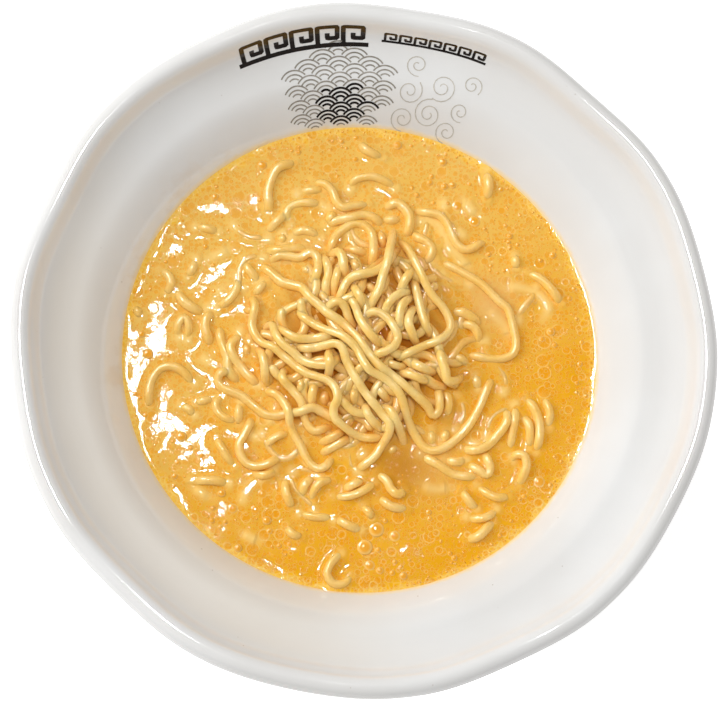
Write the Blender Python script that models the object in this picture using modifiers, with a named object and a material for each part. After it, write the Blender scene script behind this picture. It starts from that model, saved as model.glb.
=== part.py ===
"""A wide ramen bowl with a wavy ten-lobed rim, creamy broth and a heap of curly noodles.

Three solids stand one in the other: the bowl, the broth that fills it up to its level, and the heap
of noodles that sits in the broth. Metres, +Z up, the origin in the middle of the foot ring's plane.
"""

from math import atan2, cos, pi, radians, sin

import bmesh
import bpy
from mathutils import Vector

MM = 0.001

# Driving dimensions, in millimetres.
RIM_RADIUS = 105.0        # outer edge of the lip at a lobe
HEIGHT = 78.0             # from the table to the top of the lip
LIP_RADIUS = 3.3          # the lip is a round bead
BROTH_LEVEL = 55.0        # above the table
BROTH_RADIUS = 71.2       # the wall's radius at that level
FLOOR = 12.0              # inside of the bowl at the middle, above the table
UNDERSIDE = 6.5           # ceiling of the recess within the foot ring
FOOT_RADIUS = 46.0        # outer edge of the foot ring
FOOT_LAND = 5.0           # width of the flat ring that the bowl stands on

# The rim is pressed in at ten notches: place round the rim in degrees, depth in millimetres.
NOTCHES = (
    (13, 0.8), (48, 1.5), (82, 1.0), (117, 0.8), (155, 1.4),
    (188, 0.7), (226, 1.2), (259, 0.6), (295, 1.3), (332, 0.8),
)
NOTCH_HALF_WIDTH = radians(16.0)
NOTCH_REACH = 13.0        # how far below the lip's top a notch can still be felt
NOTCH_DROP = 0.4          # the lip dips by this share of the depth

AROUND = 80               # facets round the bowl
GAP = 0.3                 # clearance between touching solids

# The heap's plan is an uneven oval, and its crest stands a little off the oval's centre.
HEAP_CENTRE = Vector((1.0, 7.5))
HEAP_HALF_SIZE = (47.0, 42.0)
HEAP_HEIGHT = 14.0        # crest above the broth
HEAP_DEPTH = 11.0         # lowest point below the broth
HEAP_LEAN = Vector((3.0, 4.5))
HEAP_AROUND = 48
HEAP_RINGS = 16
STRAND_RELIEF = 1.1       # ridges that the strands make on the heap


def points(*pairs):
    """Profile points from (radius, height) pairs."""
    return [Vector(pair) for pair in pairs]


def arc(centre, radius, start, end, steps):
    """Profile points on a circle's arc, both ends included. Angles are in degrees."""
    angles = [radians(start + (end - start) * step / steps) for step in range(steps + 1)]
    return [centre + radius * Vector((cos(a), sin(a))) for a in angles]


def well_profile():
    """The part of the inside that the broth covers, from the middle of the floor to the level."""
    floor = points((0, FLOOR), (20, FLOOR + 0.9), (36, 17.6))
    side = points((48.8, 27), (58.8, 38), (66.2, 48.2), (BROTH_RADIUS, BROTH_LEVEL))
    return [*floor, *side]


def wall_profile():
    """The dry inside: up to the rounded shoulder, then hollow and steeper up to the lip."""
    depths = [(76.6, 17.0), (81.2, 13.1), (84.2, 11.5), (86.8, 11.0), (91.6, 9.5), (95.7, 6.8)]
    return points(*((radius, HEIGHT - depth) for radius, depth in depths))


def lip_profile():
    """The round bead of the lip, from its inner side over the top to its underside."""
    centre = Vector((RIM_RADIUS - LIP_RADIUS, HEIGHT - LIP_RADIUS))
    return arc(centre, LIP_RADIUS, 165, -60, 6)


def outside_profile():
    """The outside, from under the lip over the shoulder and down the body to the foot."""
    shoulder = points((99.8, 68.2), (94.0, 64.0), (86.2, 60.7), (80.0, 57.0), (74.8, 51.9))
    body = points((70.0, 45.6), (63.2, 36.0), (55.6, 25.8), (49.8, 17.6), (FOOT_RADIUS + 1, 12.6))
    return [*shoulder, *body]


def foot_profile():
    """The foot ring and the recess within it, from the outside in to the axis."""
    inner = FOOT_RADIUS - FOOT_LAND
    ring = points((FOOT_RADIUS + 0.2, 9), (FOOT_RADIUS, 1.4), (FOOT_RADIUS - 1.2, 0), (inner, 0))
    recess = points((inner - 1.2, 1.2), (inner - 2.4, 5.4), (inner - 4.5, UNDERSIDE), (0, UNDERSIDE))
    return [*ring, *recess]


def turned(name, profile):
    """A mesh object turned from a profile that starts and ends on the axis."""
    line = bpy.data.meshes.new(name)
    edges = [(i, i + 1) for i in range(len(profile) - 1)]
    line.from_pydata([(p.x * MM, 0, p.y * MM) for p in profile], edges, [])
    guide = bpy.data.objects.new(name, line)
    bpy.context.scene.collection.objects.link(guide)
    screw = guide.modifiers.new("turn", "SCREW")
    screw.steps = screw.render_steps = AROUND
    screw.use_merge_vertices = True
    screw.merge_threshold = 0.00002
    graph = bpy.context.evaluated_depsgraph_get()
    mesh = bpy.data.meshes.new_from_object(guide.evaluated_get(graph), depsgraph=graph)
    bpy.data.objects.remove(guide)
    return bpy.data.objects.new(name, mesh)


def notch_depth(angle):
    """How far the lip is pressed in at an angle round the rim, in millimetres."""
    depth = 0.0
    for place, deepest in NOTCHES:
        away = (angle - radians(place) + pi) % (2 * pi) - pi
        if abs(away) < NOTCH_HALF_WIDTH:
            depth += deepest * (1 + cos(pi * away / NOTCH_HALF_WIDTH)) / 2
    return depth


def press_notches(bowl):
    """Presses the notches into the rim: full at the lip, gone at the shoulder."""
    for vertex in bowl.data.vertices:
        share = min(1.3 * (1 - (HEIGHT - vertex.co.z / MM) / NOTCH_REACH), 1.0)
        if share <= 0:
            continue
        inward = notch_depth(atan2(vertex.co.y, vertex.co.x)) * share * share * (3 - 2 * share) * MM
        radius = vertex.co.xy.length
        vertex.co.xy *= (radius - inward) / radius
        vertex.co.z -= NOTCH_DROP * inward


def make_bowl():
    """The bowl: one turned shell from the well over the lip to the foot, then the notches."""
    inside = [*well_profile(), *wall_profile()]
    bowl = turned("bowl", [*inside, *lip_profile(), *outside_profile(), *foot_profile()])
    press_notches(bowl)
    return bowl


def make_broth():
    """The broth: the well's own shape a gap further in, closed by the flat surface."""
    well = well_profile()
    skin = [well[0] + Vector((0, GAP))]
    for before, here, after in zip(well, well[1:], well[2:]):
        along = (after - before).normalized()
        skin.append(here + GAP * Vector((-along.y, along.x)))
    edge = Vector((BROTH_RADIUS - 2 * GAP, BROTH_LEVEL))
    return turned("broth", [*skin, edge, Vector((0, BROTH_LEVEL))][::-1])


def heap_reach(angle):
    """Radius of the heap's uneven oval outline at an angle about its centre."""
    oval = 1 / ((cos(angle) / HEAP_HALF_SIZE[0]) ** 2 + (sin(angle) / HEAP_HALF_SIZE[1]) ** 2) ** 0.5
    uneven = 0.04 * cos(3 * angle - 0.6) + 0.03 * sin(5 * angle + 0.4) + 0.025 * cos(8 * angle)
    return oval * (1 + uneven)


def strand_ridges(x, y):
    """From -1 to 1: a slanting bundle of wavy strands over loops that circle the crest."""
    slant = radians(-38)
    along = x * cos(slant) + y * sin(slant)
    across = y * cos(slant) - x * sin(slant)
    bundle = cos(0.62 * (across + 3.0 * sin(0.16 * along)))
    loops = cos(0.5 * ((x * x + 1.3 * y * y) ** 0.5 + 2.5 * sin(0.2 * across)))
    return 0.6 * bundle + 0.4 * loops


def heap_point(unit, grown):
    """Where a point of the unit sphere lies on the heap, in millimetres from the heap's centre."""
    angle = atan2(unit.y, unit.x)
    spread = min(unit.xy.length, 1.0)
    flat = Vector((cos(angle), sin(angle))) * spread * (heap_reach(angle) + grown)
    if unit.z < -0.0001:
        return Vector((*flat, -(HEAP_DEPTH + grown) * (1 - spread**2.4) ** 0.7))
    flat += HEAP_LEAN * (1 - spread)
    dome = (HEAP_HEIGHT - STRAND_RELIEF + grown) * (1 - spread**2.2) ** 0.8
    return Vector((*flat, dome + STRAND_RELIEF * strand_ridges(*flat) * (1 - spread**6)))


def make_heap(name, grown=0.0):
    """The heap, as a ball pressed into shape. A grown one is the cutter for its seat."""
    ball = bmesh.new()
    bmesh.ops.create_uvsphere(ball, u_segments=HEAP_AROUND, v_segments=HEAP_RINGS, radius=1.0)
    middle = Vector((*HEAP_CENTRE, BROTH_LEVEL))
    for vertex in ball.verts:
        vertex.co = (middle + heap_point(vertex.co, grown)) * MM
    mesh = bpy.data.meshes.new(name)
    ball.to_mesh(mesh)
    ball.free()
    return bpy.data.objects.new(name, mesh)


def cut(piece, cutter, helpers):
    """Cuts the cutter out of a piece."""
    helpers.objects.link(cutter)
    cutter.hide_render = True
    cutter.display_type = "WIRE"
    seat = piece.modifiers.new("seat", "BOOLEAN")
    seat.operation = "DIFFERENCE"
    seat.object = cutter


def material(name, colour, roughness, coat=0.0):
    """A plain material."""
    made = bpy.data.materials.new(name)
    made.use_nodes = True
    shader = made.node_tree.nodes["Principled BSDF"]
    shader.inputs["Base Color"].default_value = (*colour, 1.0)
    shader.inputs["Roughness"].default_value = roughness
    shader.inputs["Metallic"].default_value = 0.0
    shader.inputs["Coat Weight"].default_value = coat
    return made


def dress(piece, surface, sharp_degrees, dish):
    """Puts a piece in the dish's collection, with its material and smooth shading."""
    dish.objects.link(piece)
    piece.data.materials.append(surface)
    piece.data.shade_smooth()
    piece.data.set_sharp_from_angle(angle=radians(sharp_degrees))


def main():
    for old in list(bpy.data.objects):
        bpy.data.objects.remove(old)
    dish = bpy.data.collections.new("ramen_bowl")
    helpers = bpy.data.collections.new("cutters")
    bpy.context.scene.collection.children.link(dish)
    bpy.context.scene.collection.children.link(helpers)

    dress(make_bowl(), material("white_glaze", (0.86, 0.85, 0.83), 0.12, coat=0.5), 50, dish)
    broth = make_broth()
    dress(broth, material("creamy_broth", (0.85, 0.50, 0.14), 0.15), 40, dish)
    cut(broth, make_heap("heap_seat", grown=GAP), helpers)
    dress(make_heap("noodle_heap"), material("cooked_noodle", (0.88, 0.68, 0.33), 0.3), 60, dish)


main()
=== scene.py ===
"""The looks of the ramen bowl: a white glazed bowl with a print, foamy broth and curly noodles.

It is in the CAD's frame. Lengths are millimetres where the pieces are shaped, and metres in
the finished meshes, the materials, the camera and the room.
The noodles are laid one after another, each draped over those that lie under it.
"""

from math import cos, pi, radians, sin

import bpy
import numpy as np
from mathutils import Matrix, Vector
from mathutils.kdtree import KDTree


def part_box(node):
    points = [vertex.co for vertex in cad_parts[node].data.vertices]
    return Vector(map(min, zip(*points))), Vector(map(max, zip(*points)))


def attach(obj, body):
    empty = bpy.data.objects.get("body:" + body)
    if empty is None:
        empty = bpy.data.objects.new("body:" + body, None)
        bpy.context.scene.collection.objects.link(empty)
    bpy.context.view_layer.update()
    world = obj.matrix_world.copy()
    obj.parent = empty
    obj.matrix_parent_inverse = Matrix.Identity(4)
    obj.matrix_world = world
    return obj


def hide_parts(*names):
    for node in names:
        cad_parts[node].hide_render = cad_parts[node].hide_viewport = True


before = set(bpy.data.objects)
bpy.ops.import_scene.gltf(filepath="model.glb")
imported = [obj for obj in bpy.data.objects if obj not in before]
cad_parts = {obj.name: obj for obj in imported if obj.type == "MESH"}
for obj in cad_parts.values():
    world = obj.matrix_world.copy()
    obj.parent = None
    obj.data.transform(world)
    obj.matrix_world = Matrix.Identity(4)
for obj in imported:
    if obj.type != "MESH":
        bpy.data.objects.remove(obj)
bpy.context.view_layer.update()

MM = 0.001
BODY = "root"

# Driving dimensions, from the frame.
GAP = 0.3                 # between the CAD's touching solids
_, bowl_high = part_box("bowl")
broth_low, broth_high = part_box("broth")
HEIGHT = bowl_high[2] / MM
BROTH_LEVEL = broth_high[2] / MM
BROTH_RADIUS = broth_high[0] / MM + 2 * GAP
FLOOR = broth_low[2] / MM - GAP

# The bowl's section, as in the CAD: (radius, height).
RIM_RADIUS = 105.0
LIP_RADIUS = 3.3
WELL = [(0, FLOOR), (20, FLOOR + 0.9), (36, 17.6), (48.8, 27), (58.8, 38), (66.2, 48.2),
        (BROTH_RADIUS, BROTH_LEVEL)]
WALL_BELOW_LIP = [(76.6, 17.0), (81.2, 13.1), (84.2, 11.5), (86.8, 11.0), (91.6, 9.5), (95.7, 6.8)]
OUTSIDE = [(99.8, 68.2), (94.0, 64.0), (86.2, 60.7), (80.0, 57.0), (74.8, 51.9), (70.0, 45.6),
           (63.2, 36.0), (55.6, 25.8), (49.8, 17.6), (47, 12.6), (46.2, 9)]
FOOT = [(46, 1.4), (44.8, 0.02), (41, 0.02), (39.8, 1.2), (38.6, 5.4), (36.5, 6.5), (18, 6.5), (0, 6.5)]
NOTCHES = ((13, 0.8), (48, 1.5), (82, 1.0), (117, 0.8), (155, 1.4),
           (188, 0.7), (226, 1.2), (259, 0.6), (295, 1.3), (332, 0.8))
NOTCH_HALF_WIDTH = radians(16.0)
NOTCH_REACH = 13.0
NOTCH_DROP = 0.4

NOODLE_RADIUS = 1.38
STRAND_SIDES = 14
STEP = 0.8                # between a strand's points
MAX_SLOPE = 1.1           # steepest that a noodle bends down
SQUEEZE = 0.8             # crossing noodles press into each other
FILLER_STRANDS = 44       # tried, deep in the heap
GHOST_STRANDS = 46        # just under the broth, round the heap
HEAP_CENTRE = np.array([1.0, 5.0])
HEAP_HALF_SIZE = np.array([46.0, 42.0])
CORE_SHARE = 0.84         # the core's width, as a share of the heap's
CORE_DEPTH = 9.0          # below the broth's level

BOWL_AROUND = 480         # facets round the bowl
BROTH_CELLS = 290         # cells across the broth's surface
WALL_CLIMB = 0.22         # how far the broth climbs the wall
STRAND_CLIMB = 0.38       # and the strands
STREWN_BUBBLES = 620      # on the open broth, with the large ones
ALL_BUBBLES = 760         # with the fringe along the right wall

# The camera looks down at the bowl, from a little in front of it and to the left.
CAMERA_TARGET = Vector((-0.0013, -0.0022, 0.074))
CAMERA_TILT = radians(12.5)
CAMERA_TURN = radians(18.0)
CAMERA_DISTANCE = 1.0
CAMERA_LENS = 169.6
TOWARDS_CAMERA = Vector((
    -sin(CAMERA_TILT) * sin(CAMERA_TURN), -sin(CAMERA_TILT) * cos(CAMERA_TURN), cos(CAMERA_TILT)))

# ---- noodle routes and bubbles, in plan, in tenths of a millimetre

# A row is the places x,y that one strand passes, and a line that starts with a space carries it on.
# The nest's routes, from the lowest strands up, hold where a strand appears at this height to the camera.
ROUTE_LEVEL = 60.0
NEST_UNDER = """
-65,330 -28,320 10,312 30,305
-30,300 -20,280 -8,250
-65,280 -73,240 -81,205 -77,170
-30,220 -15,195 0,164 10,135
50,395 63,355 68,315
157,183 134,164 119,141 115,107 123,69
-330,42 -345,10 -350,-30
-370,125 -330,128 -297,113
-98,-105 -110,-140 -108,-170
-10,-95 -21,-130 -15,-160
-75,-115 -50,-150 -20,-178 15,-184 45,-190
8,-140 20,-185 40,-210 72,-226
-163,-75 -178,-95 -180,-125
-133,-80 -144,-114 -148,-146 -146,-180
-138,-278 -100,-264 -73,-247 -51,-228
-134,-317 -115,-304 -81,-285 -51,-266 -25,-247
-83,-78 -55,-69 -28,-66
48,-86 59,-112 78,-133 100,-135
100,-56 134,-59 160,-67 190,-77 213,-67
115,-267 85,-298 66,-305
145,-8 168,-32 197,-45 230,-46
70,-10 96,-32 123,-36 136,-18
274,164 277,134
290,90 315,96 342,84 353,60 353,25
265,120 290,133 320,126 345,110 373,90
270,3 300,-10 330,-25
235,30 243,-20 253,-50 258,-76 280,-80 310,-55
"""
NEST_MIDDLE = """
-430,123 -460,110 -470,80 -460,40 -445,10
-425,90 -423,40 -413,10 -402,-20 -400,-55 -380,-80 -355,-100
-340,45 -370,42 -392,18 -385,-10 -365,-40 -340,-70 -315,-95 -300,-120
-318,30 -298,-5 -290,-40 -286,-80 -273,-106
-200,-243 -240,-252 -273,-272 -292,-303
-328,-185 -334,-220 -350,-253 -365,-283 -360,-314 -343,-338 -315,-348 -285,-342 -255,-326 -230,-308
-330,-358 -304,-374 -273,-370 -243,-348
-215,-50 -230,-53 -236,-76 -205,-115 -180,-148 -172,-190 -158,-223 -138,-238 -107,-228 -80,-216
-385,-70 -405,-58 -425,-70 -430,-90 -416,-110 -390,-121 -363,-132 -337,-151 -310,-174 -285,-190
 -255,-194 -220,-186 -185,-180 -145,-167 -115,-180 -85,-195 -40,-200
-302,-130 -285,-120 -255,-128 -232,-152 -217,-182 -213,-216 -202,-248 -183,-281 -168,-312 -152,-338
 -130,-352 -107,-345 -92,-326 -80,-306
-288,65 -282,82 -268,84 -256,55 -235,26 -205,3 -178,-22 -140,-35 -105,-36 -75,-20 -70,5
-258,84 -231,65 -197,46 -156,42 -104,50 -73,50
-85,20 -96,0 -94,-35 -98,-70
-200,26 -170,14 -140,16 -105,24 -78,30 -58,19 -45,-20 -27,-56 -9,-86 10,-116 40,-154 63,-184 85,-211
 83,-241 62,-279 40,-313 10,-339 -24,-362
20,-65 8,-40 -8,-46 -10,-70
56,-154 85,-169 104,-203 119,-241 134,-279 141,-290
"""
NEST_OVER = """
-185,140 -175,113 -145,90 -110,73 -80,63 -60,56 -35,38 -12,13 4,-18 29,-52 59,-67 85,-86 107,-108
 123,-138 134,-176 145,-214 164,-252 186,-282 212,-294 246,-286 284,-259 314,-229 340,-191 359,-153
 374,-116 392,-78 407,-60
-320,273 -290,258 -265,238 -240,217 -205,206 -180,200 -156,173 -126,146 -96,120 -66,100 -36,73 -10,46
 15,10 48,-30 85,-59 115,-82 145,-108 171,-131 198,-157 216,-186 232,-172 235,-138 232,-95
-350,163 -333,170 -320,145 -325,110 -328,80 -315,48 -295,28 -265,18 -221,-15 -190,-42 -164,-61 -130,-72
 -97,-84 -78,-105 -70,-137 -82,-168 -78,-198 -55,-220 -25,-243 2,-254 32,-255 65,-244
-273,265 -269,285 -246,298 -216,296 -186,292 -156,308 -137,300 -130,270 -137,235 -149,212
-120,310 -104,277 -100,242 -107,208 -103,169
-96,300 -73,315 -58,300 -51,262 -39,227
-94,305 -88,335 -76,362 -52,384 -25,400 5,398 29,375 37,344 37,306 32,270
-120,390 -70,410 -30,420 10,428 45,415 70,385
-100,125 -92,150 -66,158 -48,140 -38,110 -15,80
-45,155 -32,168 -17,141 -4,106 15,76 36,50 66,24
5,115 29,129 56,126 82,107 100,80 110,53 102,28 78,10 48,0 25,-8
150,198 123,190 96,171 78,148 73,120
165,275 145,248 128,220 120,190
134,296 108,289 85,267
160,240 168,190 176,152 184,118 198,84 215,56
165,153 149,128 142,98 153,65 172,30
125,330 100,315 88,292 63,266 33,250 -5,243 -35,228 -54,198 -65,165
100,400 94,360 86,320 78,280 65,240 54,200 36,165 23,138
155,395 168,365 195,350 214,327 210,304 188,280
55,420 85,416 115,415 130,405
65,438 85,459 108,468 131,452 146,428 146,394 136,368 120,360
110,358 135,334 157,297 176,259 195,217 217,179 244,149 262,118 269,84 255,60 229,42 198,30 165,15 130,0
 105,-8
155,446 198,440 236,432 258,410 274,375 289,345 315,326 342,333 365,348 390,350
235,300 260,280 296,261 334,239 368,217 394,191 420,165 443,145 455,110 462,75 468,40 460,8 433,-8
 384,-10 347,-3 315,6
"""
# Strands that float round the nest, half sunk in the broth. Their ends dip under.
AFLOAT = """
-200,600 -250,580 -270,545 -280,500 -277,465 -276,440
-223,440 -255,410 -280,382
-190,504 -140,515 -110,513
-140,540 -107,533 -83,508 -72,478 -53,460 -25,465 25,473
-212,408 -224,435 -216,458 -194,470 -156,475 -118,471
-80,446 -96,412
-209,362 -197,377 -171,387 -141,379 -118,365
-235,377 -235,346
-288,323 -254,323 -216,330 -179,331 -156,315
-30,520 -18,545 9,556 44,557 80,543 108,525
0,665 15,645 48,628 70,623
386,585 392,540 388,495
-351,292 -337,265 -318,242 -303,215
-284,231 -320,185
-374,246 -370,215 -385,181 -408,158 -434,144
-498,393 -465,388 -430,380
-495,295 -505,265 -520,240
-605,260 -580,243 -570,215 -585,185
-555,200 -535,165 -505,142 -470,130
-545,50 -548,90 -528,112 -515,85 -520,45
-675,140 -660,115
-630,-160 -632,-120 -624,-80 -600,-46 -566,-38 -536,-50 -510,-76 -496,-90
-535,-155 -515,-165 -495,-185
-493,-148 -468,-140 -440,-136
-410,-125 -432,-150 -422,-178 -395,-195 -370,-198
-360,-145 -364,-178 -362,-210
-430,-253 -416,-280 -397,-310 -374,-338
-500,-384 -464,-382 -426,-383 -390,-390
-223,-375 -222,-415 -203,-460
-138,-365 -164,-390 -176,-425
-85,-376 -115,-383 -138,-410 -145,-440
-180,-478 -140,-488 -100,-490 -75,-495
-218,-518 -203,-540 -175,-548
-55,-595 -85,-625 -98,-660 -78,-688 -45,-685 -25,-660
-48,-403 -20,-390 5,-375
-80,-426 -30,-425 19,-402 44,-380
52,-356 78,-375 94,-405 115,-418 132,-402
58,-428 94,-455 140,-460
10,-455 28,-475 36,-490
-73,-490 -37,-512 5,-526
180,-295 205,-310 240,-330 275,-352 315,-360 355,-356
255,-312 285,-318 320,-312
325,-323 355,-342 380,-356 389,-338 382,-310 372,-285
310,-275 343,-282 378,-270 408,-240 433,-208 443,-178 436,-158
470,-150 465,-190 456,-240 450,-280
452,-312 468,-294 492,-298 499,-325 490,-355 475,-385
488,-175 506,-200 510,-240 506,-275
500,-120 523,-150 538,-195 538,-240 528,-285
555,-120 570,-160 568,-210
350,-388 378,-410 410,-424 445,-420
305,-405 325,-435 350,-460
318,-483 353,-489 388,-478 408,-458
320,-553 353,-542 380,-515 400,-495
253,-95 266,-135 260,-180
348,-50 355,-95
213,-220 216,-270
260,-220 250,-260
470,320 473,280
510,268 550,246 586,208 610,175
"""
# Strands that only show as pale streaks through the broth.
SUNK = """
315,495 333,470 355,440
-460,295 -420,313 -385,330
-500,-400 -465,-425 -440,-435
-355,-535 -325,-553 -300,-560
175,-380 220,-400 275,-395
435,218 475,222 515,213 554,190 570,158 555,125
153,428 236,414 254,382 274,340 296,318 319,288 334,273
380,160 410,130 438,98 450,60
"""

# Large domed bubbles on the broth: x,y,radius.
DOME_BUBBLES = """
-297,589,16 -440,488,12 -188,633,10 -586,283,8 -12,680,10 115,660,15 -14,613,10
252,610,15 257,533,12 282,538,12 480,354,8 578,85,15 636,189,10 586,323,13
-636,0,18 -656,60,12 -534,-250,18 -362,-584,14 -412,-420,13 -277,-500,15
-440,-502,10 -552,-370,10 59,-647,13 129,-662,14 281,-607,10 268,-593,8 418,-538,8
"""
# Large flat bubbles in the foam, as above.
FLAT_BUBBLES = """
348,426,20 297,473,20 -379,-465,18 -312,-468,20 -292,-420,20 14,-577,25 49,-523,25
104,-543,18 29,-632,18 538,-374,20
"""
# Pools between the strands, in millimetres: x, y, radius and strength. The shaded pools are painted shade,
# darker amber where the nest shades the broth; in the murky ones the broth looks murkier.
PAINTED_SHADE_POOLS = ((12, -33, 9, 0.6), (27, -18, 6, 0.3), (-22, -33, 6, 0.25), (28, -4, 6, 0.35))
MURKY_POOLS = ((-16, 27, 8, 0.8), (-27, 13, 6, 0.6), (40, 17, 8, 0.7), (22, -33, 9, 0.45), (-17, -13, 8, 0.5))


# ---- curves and small helpers


def parse(text):
    """A table's rows as tuples in millimetres."""
    rows = text.strip().replace("\n ", " ").splitlines()
    return [[tuple(int(n) / 10 for n in item.split(",")) for item in row.split()] for row in rows]


def lengths(points, power=1):
    """Length along a line up to each point. A power of a half gives a centripetal curve's knots."""
    return np.concatenate([[0], np.cumsum(np.linalg.norm(np.diff(points, axis=0), axis=1) ** power)])


def resampled(points, along, stations):
    """Places on a line at other lengths along it."""
    return np.stack([np.interp(stations, along, points[:, axis]) for axis in range(points.shape[1])], -1)


def smooth_line(points, spacing):
    """A centripetal Catmull-Rom curve through the points, resampled at even steps."""
    p = np.asarray(points, float)
    p = np.vstack([2 * p[0] - p[1], p, 2 * p[-1] - p[-2]])
    knots = lengths(p, 0.5)
    fine = []
    for i in range(1, len(p) - 2):
        t = np.linspace(knots[i], knots[i + 1], 16, endpoint=False)[:, None]

        def blend(a, b, first, second):
            return ((knots[b] - t) * first + (t - knots[a]) * second) / (knots[b] - knots[a])

        left, middle, right = [blend(k, k + 1, p[k], p[k + 1]) for k in (i - 1, i, i + 1)]
        left, right = blend(i - 1, i + 1, left, middle), blend(i, i + 2, middle, right)
        fine.append(blend(i, i + 1, left, right))
    fine = np.vstack([*fine, p[-2:-1]])
    along = lengths(fine)
    stations = np.linspace(0, along[-1], max(int(round(along[-1] / spacing)), 3) + 1)
    return resampled(fine, along, stations)


def smoothstep(low, high, value):
    """0 below low, 1 above high, smooth in between."""
    share = np.clip((value - low) / (high - low), 0, 1)
    return share * share * (3 - 2 * share)


def waves(x, y, wavelength, seed):
    """A gentle random surface of about unit height with features near the wavelength."""
    rng = np.random.default_rng(seed)
    total = np.zeros_like(x)
    count = 28
    for _ in range(count):
        angle = rng.uniform(0, 2 * pi)
        length = wavelength * rng.uniform(0.7, 1.6)
        phase = rng.uniform(0, 2 * pi)
        total += np.sin((x * cos(angle) + y * sin(angle)) * 2 * pi / length + phase)
    return total * (2 / count) ** 0.5


def new_piece(name, vertices, faces, material, values=None, smooth=True):
    """A mesh piece from millimetre vertices. values are named numbers for each vertex."""
    mesh = bpy.data.meshes.new(name)
    mesh.from_pydata((np.asarray(vertices) * MM).tolist(), [], faces)
    for key, numbers in (values or {}).items():
        layer = mesh.attributes.new(key, "FLOAT", "POINT")
        layer.data.foreach_set("value", np.asarray(numbers, np.float32))
    mesh.materials.append(material)
    if smooth:
        mesh.shade_smooth()
    piece = bpy.data.objects.new(name, mesh)
    bpy.context.scene.collection.objects.link(piece)
    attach(piece, BODY)
    return piece


def strip_quads(rings, around):
    """Quads between rings of vertices that are numbered ring after ring."""
    ring, step = np.meshgrid(np.arange(rings - 1), np.arange(around), indexing="ij")
    after = (step + 1) % around
    quads = np.stack([ring * around + step, ring * around + after,
                      (ring + 1) * around + after, (ring + 1) * around + step], -1)
    return quads.reshape(-1, 4)


def fan(centre, start, around, flip=False):
    """Triangles from a centre vertex to the ring of vertices that begins at start."""
    pairs = [(start + step, start + (step + 1) % around) for step in range(around)]
    return [(centre, b, a) if flip else (centre, a, b) for a, b in pairs]


def plan_tree(points):
    """A search tree of the points' places in plan."""
    tree = KDTree(len(points))
    for index, (x, y, _) in enumerate(points):
        tree.insert((x, y, 0), index)
    tree.balance()
    return tree


def from_ends(count):
    """How far each of a strand's points is from its nearer end."""
    steps = np.arange(count)
    return np.minimum(steps, steps[::-1]) * STEP


# ---- materials


class Nodes:
    """A node tree with short calls for new nodes. last is the node that they feed."""

    def __init__(self, tree, last):
        self.nodes, self.links = tree.nodes, tree.links
        self.last = tree.nodes[last]

    def new(self, kind, **sockets):
        node = self.nodes.new("ShaderNode" + kind)
        self.feed(node, **sockets)
        return node

    def feed(self, node, **sockets):
        """Links or sets a node's named inputs. An underscore in a name stands for a space."""
        for key, value in sockets.items():
            self.put(value, node.inputs[key.replace("_", " ")])

    def put(self, value, socket):
        """Links a socket, or sets a plain value."""
        if isinstance(value, bpy.types.NodeSocket):
            self.links.new(value, socket)
        else:
            socket.default_value = value

    def math(self, operation, *values, clamp=False):
        node = self.new("Math")
        node.operation = operation
        node.use_clamp = clamp
        for value, socket in zip(values, node.inputs):
            self.put(value, socket)
        return node.outputs[0]

    def times(self, first, *others):
        for other in others:
            first = self.math("MULTIPLY", first, other)
        return first

    def minus(self, first, second):
        return self.math("SUBTRACT", first, second)

    def ramp(self, value, low, high, out_low=0.0, out_high=1.0):
        """A smooth step from out_low at low to out_high at high."""
        node = self.new("MapRange")
        node.interpolation_type = "SMOOTHSTEP"
        for socket, number in zip(node.inputs, (value, low, high, out_low, out_high)):
            self.put(number, socket)
        return node.outputs[0]

    def fall(self, value, low, high):
        """A smooth step from 1 at low to 0 at high."""
        return self.ramp(value, low, high, 1.0, 0.0)

    def mix(self, share, first, second):
        node = self.new("Mix")
        node.data_type = "RGBA"
        self.put(share, node.inputs[0])
        self.put(first, node.inputs[6])
        self.put(second, node.inputs[7])
        return node.outputs[2]


class Shader(Nodes):
    """A Principled material, textured by the place on the piece."""

    def __init__(self, name, **settings):
        self.material = bpy.data.materials.new(name)
        self.material.use_nodes = True
        super().__init__(self.material.node_tree, "Principled BSDF")
        self.feed(self.last, **settings)
        self.place = self.new("TexCoord").outputs["Object"]

    def noise(self, scale, detail=2.0, roughness=0.5):
        node = self.new("TexNoise", Vector=self.place, Scale=scale, Detail=detail, Roughness=roughness)
        return node.outputs["Fac"]

    def cells(self, scale, feature="F1", shift=(0, 0, 0), flat=True):
        """Voronoi cells of the place in plan. Returns the distance and colour sockets."""
        moved = self.new("VectorMath")
        moved.operation = "ADD"
        self.put(self.place, moved.inputs[0])
        self.put(shift, moved.inputs[1])
        node = self.new("TexVoronoi", Vector=moved.outputs[0], Scale=scale)
        node.voronoi_dimensions = "2D" if flat else "3D"
        node.feature = feature
        return node.outputs["Distance"], node.outputs.get("Color")

    def value(self, name):
        """A number stored on the mesh's vertices."""
        node = self.new("Attribute")
        node.attribute_name = name
        return node.outputs["Fac"]

    def split(self, vector):
        return self.new("SeparateXYZ", Vector=vector).outputs

    def tinted(self, colour, *layers):
        """The colour with others laid over it. A layer is a share, its strength and a screen colour."""
        for share, strength, over in layers:
            colour = self.mix(self.times(share, strength), colour, rgb(*over))
        return colour

    def bump(self, height, distance, strength, under=None):
        node = self.new("Bump", Strength=strength, Distance=distance, Height=height)
        if under is not None:
            self.put(under, node.inputs["Normal"])
        return node.outputs[0]

    def finish(self, **sockets):
        self.feed(self.last, **sockets)
        return self.material


def rgb(red, green, blue):
    """A screen colour, from 0 to 255, as the linear colour that a shader takes."""
    linear = [c / 255 / 12.92 if c <= 10 else ((c / 255 + 0.055) / 1.055) ** 2.4 for c in (red, green, blue)]
    return (*linear, 1.0)


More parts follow.
